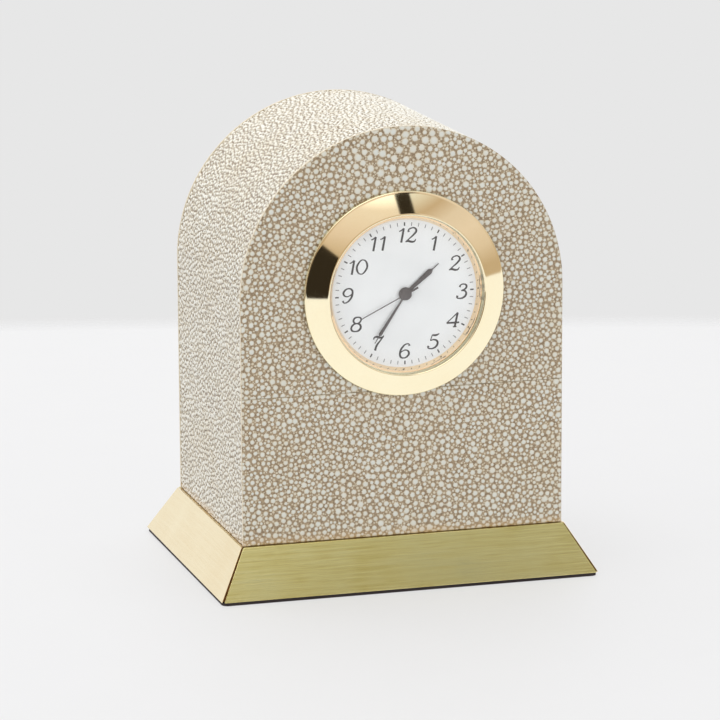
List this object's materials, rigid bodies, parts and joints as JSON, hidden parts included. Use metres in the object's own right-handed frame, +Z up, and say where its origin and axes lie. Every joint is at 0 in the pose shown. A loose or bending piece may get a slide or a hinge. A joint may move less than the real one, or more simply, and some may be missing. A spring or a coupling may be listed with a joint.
{
  "type": "desk clock",
  "caption": "Small arch-topped desk clock: pebbled leather block on a flared base of mitred brass plates, with a round glazed quartz insert that pulls out.",
  "frame": {"origin": "on the surface that the clock stands on, under the middle of its base", "axes": "+Z up; the dial faces -Y; +X to the right as the dial is read"},
  "size_m": [0.0956, 0.0776, 0.1129],
  "materials": {
    "board": "raw fibreboard",
    "shagreen": "pebbled, satin",
    "plinth_wood": "dark stained",
    "felt": "dark brushed pad",
    "base_brass": "brushed, lacquered",
    "bezel_gold": "polished gold colour",
    "glass": "clear",
    "dial_white": "satin white",
    "hand_black": "satin black",
    "case_plastic": "moulded black",
    "grip_rubber": "soft translucent grey",
    "movement_plastic": "moulded white",
    "wheel_brass": "turned and cut",
    "magnet": "ground",
    "soft_iron": "stamped",
    "copper": "enamelled copper wire",
    "board_green": "solder mask",
    "chip_black": "resin drop",
    "steel": "plated"
  },
  "bodies": {
    "case": {"case_front_board": "board", "case_middle_board": "board", "case_back_board": "board", "front_cover_upper": "shagreen", "front_cover_lower": "shagreen", "back_cover": "shagreen", "wrap_cover": "shagreen", "plinth": "plinth_wood", "brass_plate_front": "base_brass", "brass_plate_right": "base_brass", "brass_plate_back": "base_brass", "brass_plate_left": "base_brass", "base_pad": "felt", "base_screws": "steel"},
    "clock_insert": {"bezel": "bezel_gold", "lens": "glass", "inner_ring": "bezel_gold", "dial": "dial_white", "insert_cup": "case_plastic", "grip_ring": "grip_rubber", "insert_back_cover": "case_plastic", "main_plate": "movement_plastic", "train_bridge": "movement_plastic", "movement_screws": "steel", "stator": "soft_iron", "coil_core": "soft_iron", "coil_winding": "copper", "circuit_board": "board_green", "chip_cap": "chip_black", "quartz_crystal": "steel", "battery_tray": "movement_plastic", "battery": "steel", "battery_contact_minus": "wheel_brass", "battery_contact_plus": "wheel_brass"},
    "seconds": {"seconds_wheel": "wheel_brass", "second_hand": "hand_black"},
    "minutes": {"minute_wheel": "wheel_brass", "minute_hand": "hand_black"},
    "hours": {"hour_wheel": "wheel_brass", "hour_hand": "hand_black"},
    "third": {"third_wheel": "wheel_brass"},
    "intermediate": {"intermediate_wheel": "wheel_brass"},
    "step_rotor": {"rotor": "magnet"},
    "setting": {"motion_wheel": "wheel_brass", "setting_knob": "case_plastic"},
    "hatch": {"battery_hatch": "case_plastic"}
  },
  "joints": [
    {"name": "insert_slide", "type": "slide", "parent": "case", "child": "clock_insert", "axis": [0, -1, 0], "range_m": [0, 0.03]},
    {"name": "seconds_turn", "type": "hinge", "parent": "clock_insert", "child": "seconds", "pos_m": [0, -0.0315, 0.0724], "axis": [0, 1, 0], "continuous": true},
    {"name": "minutes_turn", "type": "hinge", "parent": "clock_insert", "child": "minutes", "pos_m": [0, -0.0315, 0.0724], "axis": [0, 1, 0], "continuous": true},
    {"name": "hours_turn", "type": "hinge", "parent": "clock_insert", "child": "hours", "pos_m": [0, -0.0315, 0.0724], "axis": [0, 1, 0], "continuous": true},
    {"name": "third_turn", "type": "hinge", "parent": "clock_insert", "child": "third", "pos_m": [-0.00501, -0.0315, 0.06889], "axis": [0, 1, 0], "continuous": true},
    {"name": "intermediate_turn", "type": "hinge", "parent": "clock_insert", "child": "intermediate", "pos_m": [0.00624, -0.0315, 0.0724], "axis": [0, 1, 0], "continuous": true},
    {"name": "rotor_turn", "type": "hinge", "parent": "clock_insert", "child": "step_rotor", "pos_m": [0.011, -0.0315, 0.0724], "axis": [0, 1, 0], "continuous": true},
    {"name": "setting_turn", "type": "hinge", "parent": "clock_insert", "child": "setting", "pos_m": [0, -0.0315, 0.07912], "axis": [0, 1, 0], "continuous": true},
    {"name": "hatch_turn", "type": "hinge", "parent": "clock_insert", "child": "hatch", "pos_m": [0, -0.0315, 0.0624], "axis": [0, 1, 0], "range_deg": [0, 45]}
  ],
  "couplings": [
    {"joint": "minutes_turn", "follows": "seconds_turn", "ratio": 0.016667},
    {"joint": "hours_turn", "follows": "seconds_turn", "ratio": 0.0013889},
    {"joint": "third_turn", "follows": "seconds_turn", "ratio": -0.125},
    {"joint": "intermediate_turn", "follows": "seconds_turn", "ratio": -5},
    {"joint": "rotor_turn", "follows": "seconds_turn", "ratio": 30},
    {"joint": "setting_turn", "follows": "seconds_turn", "ratio": -0.0055556}
  ]
}
